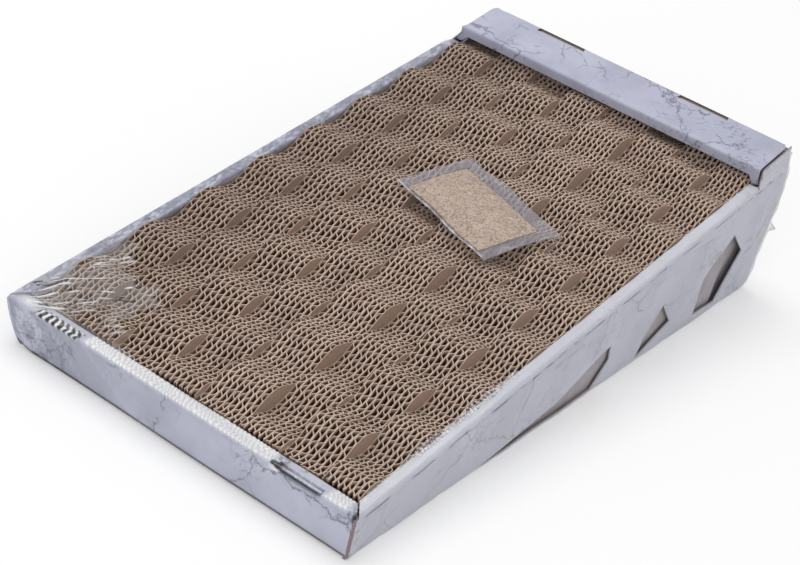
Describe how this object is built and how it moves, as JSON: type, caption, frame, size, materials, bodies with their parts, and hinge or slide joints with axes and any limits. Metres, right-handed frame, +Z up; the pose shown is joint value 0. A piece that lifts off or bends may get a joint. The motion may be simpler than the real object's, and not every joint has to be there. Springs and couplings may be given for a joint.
{
  "type": "cardboard cat scratcher",
  "caption": "Wedge-shaped cardboard cat scratcher: folded tray with a hinged header flap, wavy corrugated scratching pad on an inner ramp and a loose catnip sachet.",
  "frame": {"origin": "on the resting plane, under the middle of the tray's length and width", "axes": "+X to the right seen from the low front end, +Y towards the high header end, +Z up"},
  "size_m": [0.2504, 0.4574, 0.107],
  "materials": {
    "printed_board": "matt print with a veined stone-like pattern on corrugated board",
    "plain_board": "grey unprinted liner of the corrugated board",
    "kraft_board": "raw brown kraft liner",
    "scratch_board": "raw cut edges of brown corrugated board",
    "pouch_film": "frosted clear film, heat sealed",
    "dried_catnip": "dry crushed leaf",
    "shrink_film": "clear glossy shrink film with fine wrinkles"
  },
  "bodies": {
    "tray": {"base_panel": "kraft_board", "front_wall": "printed_board", "front_rim": "printed_board", "front_inner_wall": "printed_board", "front_left_flap": "printed_board", "front_right_flap": "printed_board", "left_wall": "printed_board", "right_wall": "printed_board", "left_rim": "printed_board", "right_rim": "printed_board", "left_inner_wall": "plain_board", "right_inner_wall": "plain_board", "back_wall": "printed_board", "rear_left_flap": "plain_board", "rear_right_flap": "plain_board", "ramp_panel": "kraft_board", "ramp_middle_leg": "kraft_board", "ramp_rear_leg": "kraft_board", "scratch_block_1": "scratch_board", "scratch_block_2": "scratch_board", "scratch_block_3": "scratch_board", "scratch_block_4": "scratch_board", "scratch_block_5": "scratch_board", "scratch_block_6": "scratch_board", "scratch_block_7": "scratch_board", "scratch_block_8": "scratch_board", "shrink_film": "shrink_film"},
    "header": {"header_top": "printed_board", "header_lip": "printed_board"},
    "sachet": {"sachet_upper_film": "pouch_film", "sachet_lower_film": "pouch_film", "catnip_filling": "dried_catnip"}
  },
  "joints": [
    {"name": "header_hinge", "type": "hinge", "parent": "tray", "child": "header", "pos_m": [0, 0.2215, 0.107], "axis": [-1, 0, 0], "range_deg": [0, 110]},
    {"name": "sachet_lift", "type": "slide", "parent": "tray", "child": "sachet", "axis": [0, 0, 1], "range_m": [0, 0.08]}
  ]
}
